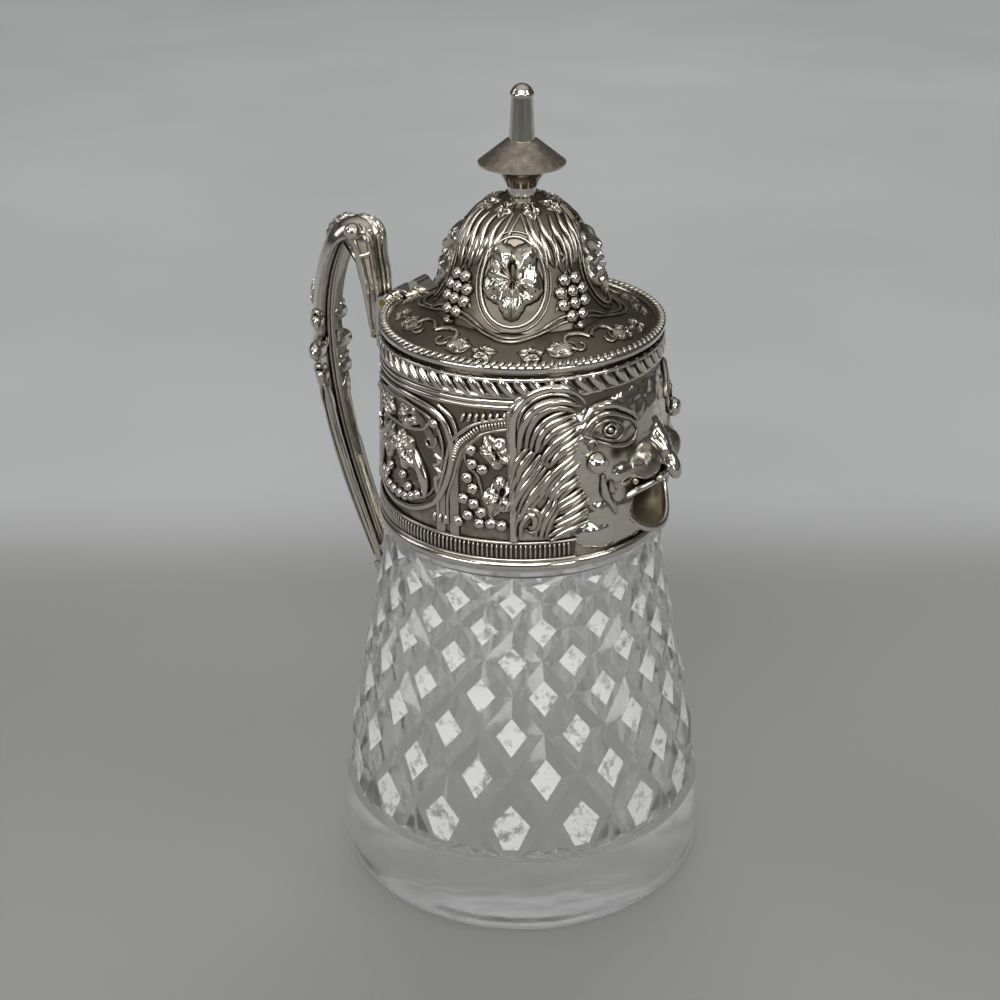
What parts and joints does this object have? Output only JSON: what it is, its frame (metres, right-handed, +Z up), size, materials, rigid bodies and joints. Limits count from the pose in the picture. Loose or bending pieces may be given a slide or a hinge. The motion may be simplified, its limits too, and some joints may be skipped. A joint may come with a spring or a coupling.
{
  "type": "syrup pitcher",
  "caption": "Small table syrup pitcher: flared pressed glass body, silver plated collar with a lion mask spout, scroll handle and hinged bell-domed lid with a turned finial.",
  "frame": {"origin": "centre of the flat glass base, on the surface that the pitcher stands on", "axes": "+Z up along the body's axis, +X towards the lion mask spout, -X towards the handle and hinge"},
  "size_m": [0.0913, 0.08, 0.17],
  "materials": {
    "pressed_glass": "clear, fire polished",
    "silver_plate": "polished with dark recesses",
    "worn_plate": "dull, worn",
    "brass_pin": "plain",
    "plaster_cement": "matt"
  },
  "bodies": {
    "jug": {"glass_body": "pressed_glass", "cement_bed": "plaster_cement", "collar_sleeve": "silver_plate", "seat_ring": "silver_plate", "gadroon_band": "silver_plate", "upper_wire": "silver_plate", "reeded_band": "silver_plate", "foot_wire": "silver_plate", "lion_mask": "silver_plate", "handle_stem": "silver_plate", "handle_leaf_node": "silver_plate", "handle_crook": "silver_plate", "handle_ball": "silver_plate", "handle_tang": "silver_plate", "hinge_bracket": "silver_plate", "hinge_pin": "brass_pin"},
    "lid": {"lid_cover": "silver_plate", "rope_border": "silver_plate", "lid_skirt": "silver_plate", "lid_knuckle": "silver_plate", "thumb_leaf": "silver_plate", "finial_ferrule": "silver_plate", "finial_disc": "worn_plate", "finial_spindle": "silver_plate", "finial_washer": "brass_pin", "finial_nut": "brass_pin"}
  },
  "joints": [
    {"name": "lid_hinge", "type": "hinge", "parent": "jug", "child": "lid", "pos_m": [-0.0305, 0, 0.1222], "axis": [0, -1, 0], "range_deg": [0, 58]}
  ]
}
